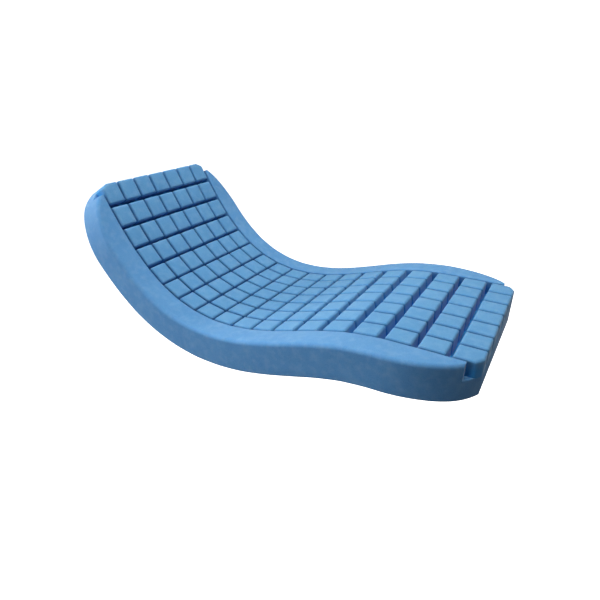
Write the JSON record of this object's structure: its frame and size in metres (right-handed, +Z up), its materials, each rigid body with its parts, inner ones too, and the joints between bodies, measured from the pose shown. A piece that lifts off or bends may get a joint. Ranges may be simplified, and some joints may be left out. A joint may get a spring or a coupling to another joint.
{
  "type": "pressure relief mattress",
  "caption": "Uncovered castellated foam hospital mattress with smooth side bolsters, in a raised-back posture, folding along the slots between its rows of cells.",
  "frame": {"origin": "middle of the seat row's flat underside, where it rests on the bed platform", "axes": "+Z up, +X towards the foot end, +Y towards the side that is on the left when seen from the foot end"},
  "size_m": [1.8007, 0.87, 0.6405],
  "materials": {
    "cell_foam": "matt open-cell foam, fine grain, cut faces slightly darker",
    "bolster_foam": "matt firmer foam, smooth skin with a soft outer edge"
  },
  "bodies": {
    "row_01": {"cell_row_01": "cell_foam", "left_bolster_01": "bolster_foam", "right_bolster_01": "bolster_foam"},
    "row_02": {"cell_row_02": "cell_foam", "left_bolster_02": "bolster_foam", "right_bolster_02": "bolster_foam"},
    "row_03": {"cell_row_03": "cell_foam", "left_bolster_03": "bolster_foam", "right_bolster_03": "bolster_foam"},
    "row_04": {"cell_row_04": "cell_foam", "left_bolster_04": "bolster_foam", "right_bolster_04": "bolster_foam"},
    "row_05": {"cell_row_05": "cell_foam", "left_bolster_05": "bolster_foam", "right_bolster_05": "bolster_foam"},
    "row_06": {"cell_row_06": "cell_foam", "left_bolster_06": "bolster_foam", "right_bolster_06": "bolster_foam"},
    "row_07": {"cell_row_07": "cell_foam", "left_bolster_07": "bolster_foam", "right_bolster_07": "bolster_foam"},
    "row_08": {"cell_row_08": "cell_foam", "left_bolster_08": "bolster_foam", "right_bolster_08": "bolster_foam"},
    "row_09": {"cell_row_09": "cell_foam", "left_bolster_09": "bolster_foam", "right_bolster_09": "bolster_foam"},
    "row_10": {"cell_row_10": "cell_foam", "left_bolster_10": "bolster_foam", "right_bolster_10": "bolster_foam"},
    "row_11": {"cell_row_11": "cell_foam", "left_bolster_11": "bolster_foam", "right_bolster_11": "bolster_foam"},
    "row_12": {"cell_row_12": "cell_foam", "left_bolster_12": "bolster_foam", "right_bolster_12": "bolster_foam"},
    "row_13": {"cell_row_13": "cell_foam", "left_bolster_13": "bolster_foam", "right_bolster_13": "bolster_foam"},
    "row_14": {"cell_row_14": "cell_foam", "left_bolster_14": "bolster_foam", "right_bolster_14": "bolster_foam"},
    "row_15": {"cell_row_15": "cell_foam", "left_bolster_15": "bolster_foam", "right_bolster_15": "bolster_foam"},
    "row_16": {"cell_row_16": "cell_foam", "left_bolster_16": "bolster_foam", "right_bolster_16": "bolster_foam"},
    "row_17": {"cell_row_17": "cell_foam", "left_bolster_17": "bolster_foam", "right_bolster_17": "bolster_foam"},
    "row_18": {"cell_row_18": "cell_foam", "left_bolster_18": "bolster_foam", "right_bolster_18": "bolster_foam"}
  },
  "joints": [
    {"name": "back_fold_01", "type": "hinge", "parent": "row_02", "child": "row_01", "pos_m": [-0.6568, 0, 0.51656], "axis": [0, 1, 0], "range_deg": [-3.02, 0.43]},
    {"name": "back_fold_02", "type": "hinge", "parent": "row_03", "child": "row_02", "pos_m": [-0.59817, 0, 0.42089], "axis": [0, 1, 0], "range_deg": [-4.52, 0.64]},
    {"name": "back_fold_03", "type": "hinge", "parent": "row_04", "child": "row_03", "pos_m": [-0.53223, 0, 0.33013], "axis": [0, 1, 0], "range_deg": [-6.52, 0.92]},
    {"name": "back_fold_04", "type": "hinge", "parent": "row_05", "child": "row_04", "pos_m": [-0.45643, 0, 0.24741], "axis": [0, 1, 0], "range_deg": [-7.52, 1.06]},
    {"name": "back_fold_05", "type": "hinge", "parent": "row_06", "child": "row_05", "pos_m": [-0.37048, 0, 0.17529], "axis": [0, 1, 0], "range_deg": [-10.52, 1.47]},
    {"name": "back_fold_06", "type": "hinge", "parent": "row_07", "child": "row_06", "pos_m": [-0.27283, 0, 0.12004], "axis": [0, 1, 0], "range_deg": [-10.52, 1.47]},
    {"name": "back_fold_07", "type": "hinge", "parent": "row_08", "child": "row_07", "pos_m": [-0.16675, 0, 0.08352], "axis": [0, 1, 0], "range_deg": [-9.52, 1.33]},
    {"name": "back_raise", "type": "hinge", "parent": "row_09", "child": "row_08", "pos_m": [-0.0561, 0, 0.065], "axis": [0, 1, 0], "range_deg": [-9.5, 1.31]},
    {"name": "thigh_raise", "type": "hinge", "parent": "row_09", "child": "row_10", "pos_m": [0.0561, 0, 0.065], "axis": [0, -1, 0], "range_deg": [-7, 3.89]},
    {"name": "thigh_fold_10", "type": "hinge", "parent": "row_10", "child": "row_11", "pos_m": [0.16745, 0, 0.07867], "axis": [0, -1, 0], "range_deg": [-6.52, 3.63]},
    {"name": "thigh_fold_11", "type": "hinge", "parent": "row_11", "child": "row_12", "pos_m": [0.27655, 0, 0.10486], "axis": [0, -1, 0], "range_deg": [-3.52, 1.96]},
    {"name": "thigh_fold_12", "type": "hinge", "parent": "row_12", "child": "row_13", "pos_m": [0.38384, 0, 0.13767], "axis": [0, -1, 0], "range_deg": [-1.02, 0.58]},
    {"name": "knee_fold_13", "type": "hinge", "parent": "row_13", "child": "row_14", "pos_m": [0.49055, 0, 0.17234], "axis": [0, 1, 0], "range_deg": [-3.52, 2.52]},
    {"name": "knee_bend", "type": "hinge", "parent": "row_14", "child": "row_15", "pos_m": [0.59917, 0, 0.20043], "axis": [0, 1, 0], "range_deg": [-7.5, 5.36]},
    {"name": "knee_fold_15", "type": "hinge", "parent": "row_15", "child": "row_16", "pos_m": [0.71052, 0, 0.2141], "axis": [0, 1, 0], "range_deg": [-5.52, 3.95]},
    {"name": "knee_fold_16", "type": "hinge", "parent": "row_16", "child": "row_17", "pos_m": [0.82268, 0, 0.21704], "axis": [0, 1, 0], "range_deg": [-0.52, 0.3771]},
    {"name": "knee_fold_17", "type": "hinge", "parent": "row_17", "child": "row_18", "pos_m": [0.93486, 0, 0.219], "axis": [0, 1, 0], "range_deg": [-0.52, 0.3771]}
  ],
  "couplings": [
    {"joint": "back_fold_01", "follows": "back_raise", "ratio": 0.31579},
    {"joint": "back_fold_02", "follows": "back_raise", "ratio": 0.47368},
    {"joint": "back_fold_03", "follows": "back_raise", "ratio": 0.68421},
    {"joint": "back_fold_04", "follows": "back_raise", "ratio": 0.78947},
    {"joint": "back_fold_05", "follows": "back_raise", "ratio": 1.1053},
    {"joint": "back_fold_06", "follows": "back_raise", "ratio": 1.1053},
    {"joint": "back_fold_07", "follows": "back_raise", "ratio": 1},
    {"joint": "thigh_fold_10", "follows": "thigh_raise", "ratio": 0.92857},
    {"joint": "thigh_fold_11", "follows": "thigh_raise", "ratio": 0.5},
    {"joint": "thigh_fold_12", "follows": "thigh_raise", "ratio": 0.14286},
    {"joint": "knee_fold_13", "follows": "knee_bend", "ratio": 0.46667},
    {"joint": "knee_fold_15", "follows": "knee_bend", "ratio": 0.73333},
    {"joint": "knee_fold_16", "follows": "knee_bend", "ratio": 0.066667},
    {"joint": "knee_fold_17", "follows": "knee_bend", "ratio": 0.066667}
  ]
}
